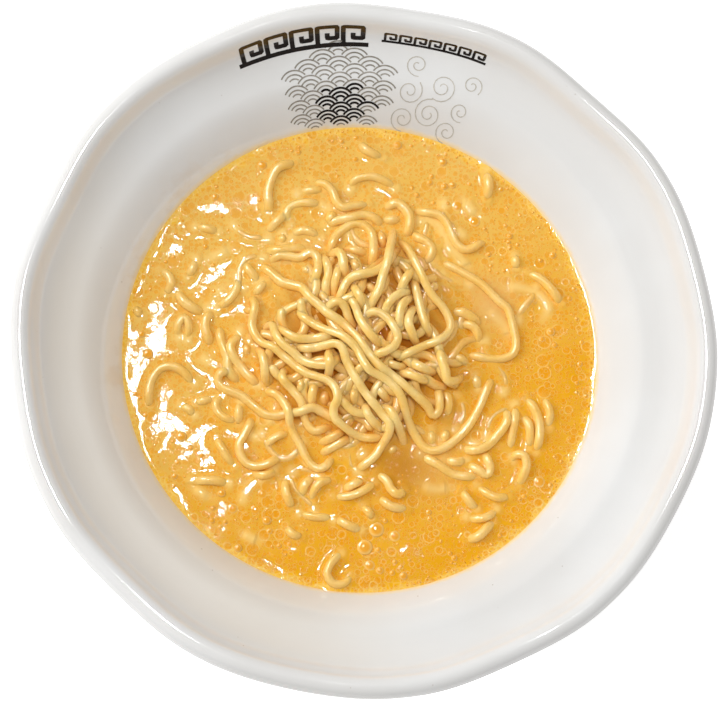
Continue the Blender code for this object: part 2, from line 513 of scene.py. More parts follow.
def glaze_material():
    """Thick white glaze over a bare foot ring: a tide line by the broth, a film and a few specks, with a
    faint painted bounce near the broth and painted shade on the left of the inner wall.
    """
    s = Shader("white_glaze", Roughness=0.09, Coat_Weight=0.6, Coat_Roughness=0.03, IOR=1.5)
    x, y, z = s.split(s.place)
    radius = s.math("SQRT", s.math("ADD", s.times(x, x), s.times(y, y)))
    clouds = s.noise(24, 3)
    colour = s.mix(s.ramp(clouds, 0.35, 0.7), rgb(224, 223, 221), rgb(229, 229, 228))
    # A faint painted bounce of orange light from the broth lies on the lower inner wall; the dried film below
    # lies in the same zone.
    inner = s.fall(z, 0.0545, 0.066)
    within = s.fall(radius, 0.0795, 0.0825)
    painted_bounce_and_film_zone = s.times(inner, within, s.value("inside"))
    ragged = s.times(s.minus(s.noise(260, 3, 0.6), 0.5), 0.0016)
    tide = s.times(s.fall(s.minus(z, ragged), 0.0550, 0.0568), s.value("inside"))
    # Painted shade: the left of the inner wall below the lip, which faces away from the light, is a darker
    # beige.
    below_lip = s.times(s.fall(z, 0.068, 0.073), s.value("inside"))
    painted_left_wall_shade = s.times(s.fall(s.math("MULTIPLY_ADD", y, 0.6, x), -0.085, -0.02), below_lip)
    colour = s.tinted(colour, (painted_bounce_and_film_zone, 0.06, (240, 218, 184)), (tide, 0.7, (252, 216, 130)),
                      (painted_left_wall_shade, 0.5, (226, 213, 194)))
    splashed = s.fall(s.math("MULTIPLY_ADD", y, -0.8, x), -0.08, 0.02)
    film = s.ramp(s.noise(90, 4, 0.6), 0.5, 0.72)
    film = s.times(film, s.times(splashed, splashed), s.times(painted_bounce_and_film_zone, 0.3))
    colour = s.mix(film, colour, rgb(205, 170, 115))
    distance, _ = s.cells(210, flat=False)
    speck = s.times(s.fall(distance, 0.035, 0.06), s.ramp(s.noise(31), 0.52, 0.62))
    colour = s.tinted(colour, (speck, 0.45, (150, 130, 108)))
    bare = s.fall(z, 0.0003, 0.0011)
    colour = s.mix(bare, colour, rgb(196, 178, 154))
    uneven = s.bump(s.noise(34, 2, 0.4), 0.0011, 0.35)
    grain = s.bump(s.times(s.noise(2600, 2), bare), 0.0002, 0.6, uneven)
    return s.finish(Base_Color=colour, Normal=grain, Roughness=s.math("MULTIPLY_ADD", bare, 0.6, 0.09))


def foam_layer(s, scale, shift, share, low, high):
    """One size of flat bubbles: where their discs are, and where their pale outlines are."""
    distance, cell = s.cells(scale, shift=shift)
    size, chance, _ = s.split(cell)
    size = s.ramp(size, 0, 1, low, high)
    there = s.ramp(chance, 1 - share, 1 - share + 0.02)
    inside = s.minus(size, distance)
    disc = s.times(s.ramp(inside, 0, 0.06), there)
    ring = s.times(s.fall(s.math("ABSOLUTE", inside), 0, 0.07), there)
    return disc, ring


def broth_material():
    """Creamy broth: flat bubbles with dark orange middles and pale outlines, oily at its edge, and painted
    shade between the strands of the heap.
    """
    s = Shader("creamy_broth", Roughness=0.04, IOR=1.34)
    x, y, _ = s.split(s.place)
    painted_shade = s.value("painted_shade")
    edge = s.value("edge")
    pale = s.value("pale")
    clouds = s.noise(70, 3, 0.55)
    cream, orange = rgb(238, 190, 93), rgb(236, 168, 22)
    lean = s.ramp(s.minus(s.times(x, 0.6), y), -0.06, 0.075)
    lean = s.math("ADD", lean, s.times(s.minus(clouds, 0.5), 1.1), clamp=True)
    colour = s.mix(lean, cream, orange)
    colour = s.tinted(colour, (edge, 0.75, (250, 186, 22)))
    disc_total, ring_total = 0, 0
    for scale, shift, share, low, high in (
        (205, (0.022, 0.009, 0), 0.34, 0.18, 0.40),
        (370, (0.013, 0.002, 0), 0.50, 0.18, 0.44),
        (660, (0.031, 0.017, 0), 0.62, 0.18, 0.46),
        (1150, (0.007, 0.041, 0), 0.75, 0.16, 0.46),
    ):
        disc, ring = foam_layer(s, scale, shift, share, low, high)
        disc_total = s.math("MAXIMUM", disc, disc_total)
        ring_total = s.math("MAXIMUM", ring, ring_total)
    foamy = s.ramp(s.noise(48, 2), 0.2, 0.46, 0.4, 1)
    foamy = s.times(foamy, s.math("MULTIPLY_ADD", lean, 0.3, 0.7))
    foamy = s.times(foamy, s.math("SUBTRACT", 1, s.math("ADD", pale, painted_shade), clamp=True))
    web, _ = s.cells(560, "DISTANCE_TO_EDGE", (0.02, 0.05, 0))
    froth = s.times(s.fall(web, 0.02, 0.2), edge)
    discs, rings = s.times(disc_total, foamy), s.times(ring_total, foamy)
    colour = s.tinted(colour, (discs, 0.8, (237, 154, 14)), (rings, 0.6, (250, 208, 122)),
                      (froth, 0.4, (255, 226, 140)))
    colour = s.mix(s.ramp(edge, 0.86, 1, 0, 0.4), colour, rgb(252, 212, 112))
    colour = s.tinted(colour, (pale, 0.75, (252, 214, 132)))
    colour = s.mix(s.value("murk"), colour, rgb(232, 184, 112))
    # Painted shade: darker amber between the strands of the heap and in the shaded pools.
    colour = s.mix(painted_shade, colour, rgb(176, 104, 10))
    height = s.math("ADD", rings, s.times(s.noise(900, 2), 0.12))
    return s.finish(Base_Color=colour, Normal=s.bump(height, 0.0001, 0.5))


def noodle_material():
    """Wet pale yellow noodles, more orange where they stand in the broth, with painted shade low in the heap
    and under other strands.
    """
    s = Shader("cooked_noodle", Roughness=0.3, IOR=1.45, Coat_Weight=0.6, Coat_Roughness=0.08,
               Subsurface_Weight=0.45, Subsurface_Scale=0.0013, Subsurface_Radius=(1, 0.97, 0.9))
    z = s.split(s.place)[2]
    level = BROTH_LEVEL * MM
    colour = s.mix(s.ramp(s.noise(160, 2), 0.3, 0.7), rgb(243, 201, 108), rgb(244, 212, 136))
    # Lower in the heap the noodles grow more orange, partly from soaked-up broth and partly as painted shade.
    low = s.fall(z, level - 0.001, level + 0.0075)
    under = s.fall(z, level - 0.0015, level + 0.0012)
    distance, _ = s.cells(650, flat=False)
    fleck = s.times(s.fall(distance, 0.07, 0.13), s.ramp(s.noise(210), 0.55, 0.65))
    # Strands that lie under others get a darker orange painted shade.
    colour = s.tinted(colour, (low, 0.4, (252, 186, 68)), (under, 0.35, (252, 200, 100)),
                      (s.value("painted_shade"), 0.95, (216, 130, 26)), (fleck, 0.35, (182, 128, 62)))
    skin = s.math("ADD", s.noise(1500, 3, 0.6), s.times(s.noise(420, 2), 0.8))
    rough = s.ramp(s.noise(500, 2), 0.35, 0.65, 0.22, 0.42)
    return s.finish(Base_Color=colour, Normal=s.bump(skin, 0.00016, 0.45), Roughness=rough)


def bubble_material():
    """Clear bubbles: the broth looks deeper through them, with a paler rim."""
    s = Shader("bubble_skin", Roughness=0.04, IOR=1.35, Coat_Weight=1, Coat_Roughness=0.01)
    colour = s.mix(s.ramp(s.value("rim"), 0.45, 0.85), rgb(240, 164, 36), rgb(250, 202, 112))
    colour = s.mix(s.times(s.noise(700, 1), 0.25), colour, rgb(250, 184, 76))
    return s.finish(Base_Color=colour)


def print_material(name, dark, light):
    """Print under the glaze, a little uneven in its density."""
    s = Shader(name, Roughness=0.2, Coat_Weight=0.3, Coat_Roughness=0.05)
    colour = s.mix(s.ramp(s.noise(900, 3, 0.6), 0.3, 0.75), dark, light)
    return s.finish(Base_Color=colour, Normal=s.bump(s.noise(1200), 0.00003, 0.3))


# ---- the bowl


def notch_depth(angle):
    """How far the lip is pressed in at each angle round the rim."""
    depth = np.zeros_like(angle)
    for place, deepest in NOTCHES:
        away = (angle - radians(place) + pi) % (2 * pi) - pi
        near = np.abs(away) < NOTCH_HALF_WIDTH
        depth += np.where(near, deepest * (1 + np.cos(pi * away / NOTCH_HALF_WIDTH)) / 2, 0)
    return depth


def pressed(radius, angle, height):
    """A point of the turned shape, moved by the notches: x, y and z."""
    share = smoothstep(0, 1, 1.3 * (1 - (HEIGHT - height) / NOTCH_REACH))
    inward = notch_depth(angle) * share
    return np.stack([(radius - inward) * np.cos(angle), (radius - inward) * np.sin(angle),
                     height - NOTCH_DROP * inward], -1)


def bowl_profile():
    """The bowl's section from the middle of the floor over the lip to the middle underneath."""
    wall = [(radius, HEIGHT - below) for radius, below in WALL_BELOW_LIP]
    angles = np.radians(np.linspace(165, -60, 11))
    centre = (RIM_RADIUS - LIP_RADIUS, HEIGHT - LIP_RADIUS)
    lip = [(centre[0] + LIP_RADIUS * cos(a), centre[1] + LIP_RADIUS * sin(a)) for a in angles]
    return smooth_line([*WELL, *wall, *lip, *OUTSIDE], 1.5), smooth_line(FOOT, 1.5)


def inner_wall():
    """Radius and height along the dry inside, from the broth up to the lip."""
    profile, _ = bowl_profile()
    top = int(np.argmax(profile[:, 1]))
    inside = profile[:top]
    return inside[inside[:, 1] > BROTH_LEVEL - 3]


def make_bowl():
    body, foot = bowl_profile()
    profile = np.vstack([body, foot])
    around = BOWL_AROUND
    angle = np.arange(around) * 2 * pi / around
    radius, height, turn = np.broadcast_arrays(profile[1:-1, :1], profile[1:-1, 1:], angle)
    shell = pressed(radius, turn, np.maximum(height, 0.0)).reshape(-1, 3)
    first, last = len(shell), len(shell) + 1
    vertices = np.vstack([shell, [(0, 0, profile[0, 1])], [(0, 0, profile[-1, 1])]])
    rings = len(profile) - 2
    faces = strip_quads(rings, around)[:, ::-1].tolist()
    faces += fan(first, 0, around) + fan(last, (rings - 1) * around, around, flip=True)
    top = int(np.argmax(body[:, 1]))
    inside = np.repeat((np.arange(rings) < top).astype(float), around)
    inside = np.concatenate([inside, [1.0, 0.0]])
    bowl = new_piece("glazed_bowl", vertices, faces, glaze_material(), {"inside": inside})
    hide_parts("bowl")


# ---- noodles


def heap_share(xy):
    """0 in the middle of the heap, 1 at its outline."""
    return np.linalg.norm((xy - HEAP_CENTRE) / HEAP_HALF_SIZE, axis=-1)


def core_height(xy):
    """Top of the wet core, which rises out of the broth in the middle of the heap."""
    return BROTH_LEVEL - 1.6 + 6.0 * np.clip(1 - heap_share(xy) ** 2, 0, 1) ** 1.2


def heap_swell(xy):
    """How far the broth stands higher between the strands of the heap."""
    return 0.4 * (1 - smoothstep(0.75, 1.05, heap_share(xy)))


def painted_gap_shade(xy):
    """How much painted shade darkens the broth between the strands of the heap, from 0 to 1."""
    return 0.95 * (1 - smoothstep(0.25, 0.78, heap_share(xy)))


def pools(xy, places):
    """From 0 to 1, how much a place lies within one of the round, soft-edged pools."""
    total = np.zeros(len(xy))
    for x, y, radius, strength in places:
        total = np.maximum(total, strength * np.exp(-((xy - (x, y)) ** 2).sum(-1) / radius ** 2))
    return total


def gaussian(values, sigma):
    """Values smoothed along a line. sigma is in steps."""
    reach = int(3 * sigma) + 1
    kernel = np.exp(-0.5 * (np.arange(-reach, reach + 1) / sigma) ** 2)
    padded = np.pad(values, reach, mode="edge")
    return np.convolve(padded, kernel / kernel.sum(), "valid")


class Pile:
    """The noodles laid so far."""

    def __init__(self):
        self.lines = []
        self.points = np.zeros((0, 3))

    def need(self, xy):
        """The lowest height at which a strand clears the core and all strands under it."""
        lowest = resting_height(xy)
        touch = 2 * NOODLE_RADIUS * SQUEEZE
        for start in range(0, len(self.points), 4000):
            block = self.points[start:start + 4000]
            apart = ((xy[:, None, :] - block[None, :, :2]) ** 2).sum(-1)
            rise = np.sqrt(np.clip(touch * touch - apart, 0, None))
            over = np.where(apart < touch * touch, block[None, :, 2] + rise, -1e9)
            lowest = np.maximum(lowest, over.max(1))
        return lowest

    def drape(self, route):
        """Lays a strand over the pile. The route is where it appears at ROUTE_LEVEL."""
        dip = 3.2
        seen = smooth_line(route, STEP)
        slide = np.array(TOWARDS_CAMERA[:2]) / TOWARDS_CAMERA.z
        z = np.full(len(seen), ROUTE_LEVEL)
        steps = np.arange(len(seen))
        fall = np.abs(steps[:, None] - steps[None, :]) * STEP * MAX_SLOPE
        for _ in range(3):
            xy = seen + (z - ROUTE_LEVEL)[:, None] * slide
            need = self.need(xy)
            z = (need[None, :] - fall).max(1)
            z = gaussian(z, 2.2)
            z = settled(z, xy)
        z = z - dip * (1 - smoothstep(0, 5.0, from_ends(len(seen)))) ** 1.3
        self.add(np.column_stack([xy, z]))

    def add(self, line):
        self.lines.append(line)
        self.points = np.vstack([self.points, line])


def resting_height(xy):
    """Height of a strand that lies on the core, or half sunk in the broth beside it."""
    return np.maximum(core_height(xy) + 0.3, BROTH_LEVEL + 0.55)


def settled(z, xy):
    """Presses what stands high above the core down towards it, as wet noodles sag."""
    base = resting_height(xy)
    over = z - base
    return base + np.where(over < 4, over, 4 + 7 * (1 - np.exp(-(over - 4) / 7)))


def lay_filler(pile, rng):
    """Curly strands low down in the heap, which show only through the gaps."""
    for _ in range(FILLER_STRANDS):
        place = HEAP_CENTRE + rng.normal(0, 0.3, 2) * HEAP_HALF_SIZE
        heading = rng.uniform(0, 2 * pi)
        bend = rng.normal(0, 0.1)
        phase = rng.uniform(0, 2 * pi)
        points = []
        for step in range(12):
            if heap_share(place) > 0.7:
                break
            points.append(tuple(place))
            heading += bend + 0.6 * sin(phase + step * 0.8)
            place = place + 3.0 * np.array([cos(heading), sin(heading)])
        if len(points) > 4:
            xy = smooth_line(points, STEP)
            ripple = rng.uniform(-1.0, 0.6) + 0.8 * np.sin(np.arange(len(xy)) * 0.25 + phase)
            pile.add(np.column_stack([xy, core_height(xy) + ripple]))


def lay_ghosts(rng):
    """Curly strands round the heap, sunk until only their crowns show, clear of the open pools."""
    ghosts = []
    while len(ghosts) < GHOST_STRANDS:
        turn, share = rng.uniform(0, 2 * pi), rng.uniform(0.5, 1.08)
        place = HEAP_CENTRE + share * HEAP_HALF_SIZE * (cos(turn), sin(turn))
        heading = turn + pi / 2 + rng.normal(0, 0.8)
        bend, phase = rng.normal(0, 0.12), rng.uniform(0, 2 * pi)
        points = []
        for step in range(int(rng.integers(4, 9))):
            points.append(place)
            heading += bend + 0.5 * sin(phase + step * 0.9)
            place = place + 3.0 * np.array([cos(heading), sin(heading)])
        if pools(np.array(points), PAINTED_SHADE_POOLS + MURKY_POOLS).max() > 0.3:
            continue
        xy = smooth_line(points, STEP)
        sink = rng.uniform(0.7, 1.3)
        bed = np.maximum(core_height(xy), BROTH_LEVEL + heap_swell(xy))
        dip = 1.2 * (1 - smoothstep(0, 4, from_ends(len(xy)))) ** 1.5
        ghosts.append(np.column_stack([xy, bed - sink - dip]))
    return ghosts


def painted_pile_shade(lines):
    """How far each point of the strands lies under the top of the pile near it, from 0 to 1: the strength of
    the painted shade on the lower strands.
    """
    points = np.vstack(lines)
    depth = []
    for line in lines:
        apart = ((line[:, None, :2] - points[None, :, :2]) ** 2).sum(-1)
        top = np.where(apart < 3.4 ** 2, points[None, :, 2], -1e9).max(1)
        depth.append(gaussian(np.clip((top - line[:, 2] - 1.2) / 6.0, 0, 1), 2))
    return depth


def float_line(route, rng, sink):
    """A strand that lies in the broth, with ends that dip under."""
    xy = smooth_line(route, STEP)
    reach = min(4.5, 0.42 * len(xy) * STEP)
    wobble = 0.25 * np.sin(np.arange(len(xy)) * STEP * 0.45 + rng.uniform(0, 6))
    dip = 1.7 * (1 - smoothstep(0, reach, from_ends(len(xy)))) ** 1.5
    return np.column_stack([xy, BROTH_LEVEL - sink + wobble - dip])


def tubes(lines, painted_shade, rng):
    """One mesh of slightly square strands with round ends, and the painted shade of each vertex."""
    vertices, faces, depths = [], [], []
    sides = STRAND_SIDES
    around = np.arange(sides) * 2 * pi / sides
    count = 0
    for line, depth in zip(lines, painted_shade):
        tangent = np.gradient(line, axis=0)
        tangent /= np.linalg.norm(tangent, axis=1)[:, None]
        side = np.cross(tangent, (0, 0, 1.0))
        side /= np.linalg.norm(side, axis=1)[:, None]
        up = np.cross(side, tangent)
        along = np.arange(len(line)) * STEP
        pace, phase, swell = rng.uniform(0.3, 0.6), rng.uniform(0, 6), rng.uniform(0.3, 1)
        thick = NOODLE_RADIUS * (1 + 0.05 * np.sin(along * pace + phase) * swell)
        thick *= rng.uniform(0.95, 1.05)
        twist = rng.uniform(0, pi) + along * rng.normal(0, 0.02)
        tip = 1 - np.clip(from_ends(len(line)) / (0.8 * NOODLE_RADIUS), 0, 1)
        thick = thick * np.sqrt(np.clip(1 - tip ** 2, 0.05, 1))
        turn = around[None, :] + twist[:, None]
        square = 1 + 0.035 * np.cos(4 * around)[None, :]
        flat = 1 - 0.04 * np.cos(2 * around)[None, :]
        reach = thick[:, None] * square * flat
        ring = (line[:, None, :] + (reach * np.cos(turn))[..., None] * side[:, None, :]
                + (reach * np.sin(turn))[..., None] * up[:, None, :])
        vertices.append(ring.reshape(-1, 3))
        depths.append(np.repeat(depth, sides))
        faces += (strip_quads(len(line), sides) + count).tolist()
        faces.append((count + np.arange(sides))[::-1].tolist())
        faces.append((count + (len(line) - 1) * sides + np.arange(sides)).tolist())
        count += len(line) * sides
    return np.vstack(vertices), faces, np.concatenate(depths)


def make_core(material):
    """The wet core of the heap: a low dome with strand relief, closed underneath."""
    rings, around = 60, 160
    share = (np.arange(1, rings + 1) / rings)[:, None]
    turn = (np.arange(around) * 2 * pi / around)[None, :]
    reach = CORE_SHARE * share
    x = HEAP_CENTRE[0] + HEAP_HALF_SIZE[0] * reach * np.cos(turn)
    y = HEAP_CENTRE[1] + HEAP_HALF_SIZE[1] * reach * np.sin(turn)
    top = core_height(np.stack([x, y], -1))
    relief = 0.5 * np.sin(0.9 * (x + y) + 2 * np.sin(0.17 * (x - y))) * (1 - share ** 4)
    z = top + relief - 0.3
    low = BROTH_LEVEL - CORE_DEPTH
    base = np.stack([0.8 * x[-1:], 0.8 * y[-1:], np.full_like(x[-1:], low)], -1).reshape(-1, 3)
    shell = np.vstack([np.stack([x, y, z], -1).reshape(-1, 3), base])
    top_centre, base_centre = len(shell), len(shell) + 1
    vertices = np.vstack([shell, [(*HEAP_CENTRE, z[0].mean())], [(*(0.8 * HEAP_CENTRE), low)]])
    faces = strip_quads(rings + 1, around).tolist()
    faces += fan(top_centre, 0, around) + fan(base_centre, rings * around, around, flip=True)
    none = np.zeros(len(vertices))
    # Painted shade darkens the core to amber between the strands.
    values = {"painted_shade": painted_gap_shade(vertices[:, :2]), "edge": none, "pale": none}
    core = new_piece("heap_core", vertices, faces, material, values)
    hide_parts("noodle_heap")


# ---- broth


def square_to_disc(u, v):
    """Maps a square grid evenly onto the unit disc."""
    wide = np.abs(u) > np.abs(v)
    big = np.where(wide, u, v)
    small = np.where(wide, v, u)
    angle = (pi / 4) * small / np.where(big == 0, 1, big)
    along, across = big * np.cos(angle), big * np.sin(angle)
    return np.where(wide, along, across), np.where(wide, across, along)


def nearest_strand(xy, points):
    """For each place in plan, how far the nearest strand point is, and its height."""
    tree = plan_tree(points)
    found = [tree.find((x, y, 0)) for x, y in xy.tolist()]
    return np.array([distance for _, _, distance in found]), points[[index for _, index, _ in found], 2]


def make_broth(material, afloat, sunk):
    """The broth, closed: a wavy surface that climbs the wall and the strands, over a well shape."""
    cells = BROTH_CELLS
    line = np.linspace(-1, 1, cells + 1)
    u, v = np.meshgrid(line, line, indexing="ij")
    x, y = square_to_disc(u, v)
    reach = BROTH_RADIUS + 0.35
    xy = np.stack([x, y], -1).reshape(-1, 2) * reach
    radius = np.linalg.norm(xy, axis=1)
    shore = reach - radius
    z = np.zeros(len(xy))
    calm = 1 - 0.65 * pools(xy, ((-46, 4, 18, 1.0),))
    z += calm * (0.095 * waves(xy[:, 0], xy[:, 1], 21.0, 3) + 0.012 * waves(xy[:, 0], xy[:, 1], 5.0, 5))
    z *= smoothstep(0, 4, shore)
    z += WALL_CLIMB * np.exp(-shore / 1.4)
    apart, height = nearest_strand(xy, np.vstack([*afloat, *sunk]))
    crown = height + NOODLE_RADIUS - BROTH_LEVEL
    climb = STRAND_CLIMB * smoothstep(-0.9, 0.3, crown)
    z += climb * np.exp(-(np.clip(apart - 1.25, 0, None) / 0.75) ** 1.2)
    z += 0.5 * smoothstep(-1.6, -0.5, crown) * (1 - climb / STRAND_CLIMB) * np.exp(-(apart / 1.9) ** 2)
    z += heap_swell(xy)
    top = np.column_stack([xy, z + BROTH_LEVEL])
    sunk_near = np.exp(-(apart / 1.5) ** 2) * smoothstep(-3.2, -0.6, crown)
    looks = {
        # Painted shade between the strands of the heap and in the shaded pools.
        "painted_shade": np.maximum(painted_gap_shade(xy), pools(xy, PAINTED_SHADE_POOLS)),
        "edge": 1 - smoothstep(0.8, 3.8, shore + 0.6 * waves(xy[:, 0], xy[:, 1], 9.0, 11)),
        "pale": sunk_near * (1 - 0.8 * smoothstep(-0.3, 0.4, crown)),
        "murk": pools(xy, MURKY_POOLS),
    }

    index = np.arange((cells + 1) ** 2).reshape(cells + 1, cells + 1)
    quads = np.stack([index[:-1, :-1], index[1:, :-1], index[1:, 1:], index[:-1, 1:]], -1).reshape(-1, 4)
    border = np.concatenate([index[:-1, 0], index[-1, :-1], index[:0:-1, -1], index[0, :0:-1]])
    well = smooth_line(WELL, 9.0)[::-1][1:-1]
    outward = top[border, :2] / radius[border][:, None]
    skirt = [np.column_stack([outward * (r + GAP), np.full(len(border), h - GAP)]) for r, h in well]
    vertices = np.vstack([top, *skirt, [(0, 0, FLOOR - GAP)]])
    faces = quads.tolist()
    above = border
    for row in range(len(skirt)):
        below = len(top) + row * len(border) + np.arange(len(border))
        faces += np.stack([above, below, np.roll(below, -1), np.roll(above, -1)], -1).tolist()
        above = below
    faces += [(int(a), len(vertices) - 1, int(b)) for a, b in zip(above, np.roll(above, -1))]
    spare = np.zeros(len(vertices) - len(top))
    values = {key: np.concatenate([numbers, spare]) for key, numbers in looks.items()}
    broth = new_piece("broth_body", vertices, faces, material, values)
    broth.data.set_sharp_from_angle(angle=radians(60))
    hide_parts("broth")


def make_bubbles(afloat_points):
    """Domes on the broth: large ones listed, small ones strewn, and a fringe by the right wall."""
    rng = np.random.default_rng(21)
    domes = [(x, y, r, 0.5) for row in parse(DOME_BUBBLES) for x, y, r in row]
    domes += [(x, y, r, 0.16) for row in parse(FLAT_BUBBLES) for x, y, r in row]
    tree = plan_tree(afloat_points)
    while len(domes) < STREWN_BUBBLES:
        angle, reach = rng.uniform(0, 2 * pi), 69.8 * rng.uniform(0.2, 1) ** 0.5
        x, y = reach * cos(angle), reach * sin(angle)
        r = 0.28 + 0.75 * rng.uniform() ** 3.5
        if heap_share(np.array([x, y])) < 0.9 or tree.find((x, y, 0))[2] < NOODLE_RADIUS + r + 0.2:
            continue
        if any((x - a) ** 2 + (y - b) ** 2 < (r + c) ** 2 for a, b, c, _ in domes):
            continue
        domes.append((x, y, r, rng.uniform(0.2, 0.6)))
    while len(domes) < ALL_BUBBLES:
        angle, reach = rng.uniform(-1.4, 2.0), 70.7 - abs(rng.normal(0, 0.5))
        x, y, r = reach * cos(angle), reach * sin(angle), rng.uniform(0.22, 0.5)
        if all((x - a) ** 2 + (y - b) ** 2 > (r + c) ** 2 for a, b, c, _ in domes):
            domes.append((x, y, r, 0.9))
    rings, around = 5, 18
    turn = np.arange(around) * 2 * pi / around
    shares = np.linspace(1, 1 / rings, rings)
    vertices, faces, rim = [], [], []
    for x, y, r, rise in domes:
        count = len(vertices)
        for share in shares:
            z = BROTH_LEVEL - 0.25 + (r * rise + 0.25) * (1 - share ** 2.2) ** 0.6
            vertices += [(x + r * share * cos(t), y + r * share * sin(t), z) for t in turn]
        crown = len(vertices)
        vertices += [(x, y, BROTH_LEVEL + r * rise), (x, y, BROTH_LEVEL - 0.5)]
        rim += [share for share in shares for _ in turn] + [0.0, 1.0]
        faces += (strip_quads(rings, around) + count).tolist()
        faces += fan(crown, crown - around, around) + fan(crown + 1, count, around, flip=True)
    return new_piece("broth_bubbles", vertices, faces, bubble_material(), {"rim": rim})


# ---- print


PRINT_AROUND = 88.0       # the radius at which the print's across-lengths are true
PRINT_LIFT = 0.08         # of its upper side off the glaze, and of its underside into it

# Each curl's centre (across, up), radius, turns, first angle and hand.
CLOUD_CURLS = (
    ((15, 5), 4.6, 1.7, 0.4, 1), ((23.5, 8.5), 5.2, 1.9, 2.2, -1), ((31.5, 4.5), 4.2, 1.6, 1.0, 1),
    ((15.5, 14.5), 4.4, 1.6, 3.4, 1), ((25.5, 18), 4.6, 1.8, 0.2, -1),
    ((33.5, 12.5), 3.4, 1.5, 2.0, 1), ((16.5, 23), 3.6, 1.6, 1.2, 1), ((34, 21.5), 3.2, 1.5, 0.6, -1),
)


def on_wall(across, up, lift):
    """A place of the far wall: across to the right, up along the wall from the broth, off the glaze."""
    wall = inner_wall()
    along = lengths(wall)
    along -= np.interp(BROTH_LEVEL, wall[:, 1], along)
    radius = np.interp(up, along, wall[:, 0])
    height = np.interp(up, along, wall[:, 1])
    slope = np.interp(up, along, np.arctan2(*np.gradient(wall, axis=0)[:, ::-1].T))
    turn = pi / 2 - across / PRINT_AROUND
    return pressed(radius - lift * np.sin(slope), turn, height + lift * np.cos(slope))


def print_strips(name, strokes, width, material):
    """Closed thin bars along strokes on the wall. A stroke is points of (across, up)."""
    vertices, faces = [], []
    count = 0
    for stroke in strokes:
        line = np.asarray(stroke, float)
        along = lengths(line)
        line = resampled(line, along, np.unique(np.concatenate([along, np.arange(0, along[-1], 0.6)])))
        tangent = np.gradient(line, axis=0)
        tangent /= np.linalg.norm(tangent, axis=1)[:, None]
        side = np.stack([-tangent[:, 1], tangent[:, 0]], -1) * width / 2
        left, right = line + side, line - side
        corners = ((left, 1), (right, 1), (right, -1), (left, -1))
        ring = np.stack([on_wall(*edge.T, out * PRINT_LIFT) for edge, out in corners], 1)
        vertices.append(ring.reshape(-1, 3))
        faces += (strip_quads(len(line), 4) + count).tolist()
        faces.append([count + 3, count + 2, count + 1, count])
        last = count + (len(line) - 1) * 4
        faces.append([last, last + 1, last + 2, last + 3])
        count += len(line) * 4
    return new_piece(name, np.vstack(vertices), faces, material, smooth=False)


def fret(start, up, unit, width, height, count):
    """A border of key hooks that stand on one base line."""
    hook = [(0, 0), (0, 1), (1, 1), (1, 0.34), (0.5, 0.34), (0.5, 0.62)]
    strokes = [[(start - 0.3 * width, up), (start + (count - 1) * unit + 1.3 * width, up)]]
    for index in range(count):
        left = start + index * unit
        strokes.append([(left + x * width, up + y * height) for x, y in hook])
    return strokes


def wave_scales(centre, half, radius):
    """Rows of overlapping round scales within an oval: runs of concentric arcs."""
    strokes = []
    rows = int(2 * half[1] / (radius / 2)) + 2
    columns = int(2 * half[0] / (2 * radius)) + 3
    for row in range(rows):
        up = centre[1] - half[1] + row * radius / 2
        for column in range(columns):
            across = centre[0] - half[0] + (2 * column + row % 2) * radius - radius
            if ((across - centre[0]) / half[0]) ** 2 + ((up - centre[1]) / half[1]) ** 2 > 1:
                continue
            for share in (0.97, 0.7, 0.43):
                run = []
                for angle in np.radians(np.arange(0, 181, 9)):
                    x, y = share * radius * cos(angle), share * radius * sin(angle)
                    aside = abs(x) - radius
                    if aside ** 2 + (y + radius / 2) ** 2 > radius ** 2:
                        run.append((across + x, up + y))
                if len(run) > 2:
                    strokes.append(run)
    return strokes


def cloud_curl(centre, radius, turns, start, flip):
    """A spiral line that opens outwards."""
    angles = np.linspace(0, turns * 2 * pi, int(turns * 18))
    reach = radius * (0.15 + 0.85 * angles / angles[-1])
    return [(centre[0] + flip * r * cos(start + a), centre[1] + r * sin(start + a))
            for a, r in zip(angles, reach)]


def make_print():
    """Two borders of key hooks, with waves and pale cloud curls under them."""
    dark = print_material("print_dark_brown", rgb(16, 10, 6), rgb(34, 22, 15))
    grey = print_material("print_grey", rgb(128, 122, 112), rgb(160, 154, 143))
    pale = print_material("print_pale", rgb(178, 172, 160), rgb(205, 199, 188))
    print_strips("print_border", fret(-34.5, 27.4, 7.2, 5.5, 6.4, 5), 1.35, dark)
    print_strips("print_small_border", fret(6.0, 29.2, 4.2, 3.0, 3.0, 7), 0.75, dark)
    middle, heart = (-7.5, 11.5), (-6.5, 9.0)
    scales = wave_scales(middle, (19.0, 14.0), 4.8)
    from_heart = [np.linalg.norm((np.mean(run, axis=0) - heart) / (9.0, 6.5)) for run in scales]
    print_strips("print_waves", [run for run, away in zip(scales, from_heart) if away >= 1], 0.45, grey)
    print_strips("print_dark_waves", [run for run, away in zip(scales, from_heart) if away < 1], 0.7, dark)
    print_strips("print_clouds", [cloud_curl(*curl) for curl in CLOUD_CURLS], 0.3, pale)


# ---- room


def area_light(name, place, target, size, watts):
    """A rectangular white softbox that faces its target."""
    light = bpy.data.lights.new(name, "AREA")
    light.shape = "RECTANGLE"
    light.size, light.size_y = size
    light.energy = watts
    lamp = bpy.data.objects.new(name, light)
    lamp.location = place
    lamp.rotation_euler = (Vector(target) - Vector(place)).to_track_quat("-Z", "Y").to_euler()
    bpy.context.scene.collection.objects.link(lamp)
    return lamp


def make_wet_light(pieces):
    """A panel at the upper left that shows only as highlights on the wet noodles and bubbles."""
    panel = area_light("wet_light", (-0.5, 0.5, 0.9), (0, 0, 0.06), (0.5, 0.5), 13)
    panel.visible_diffuse = False
    receivers = bpy.data.collections.new("wet_pieces")
    for piece in pieces:
        receivers.objects.link(piece)
    panel.light_linking.receiver_collection = receivers


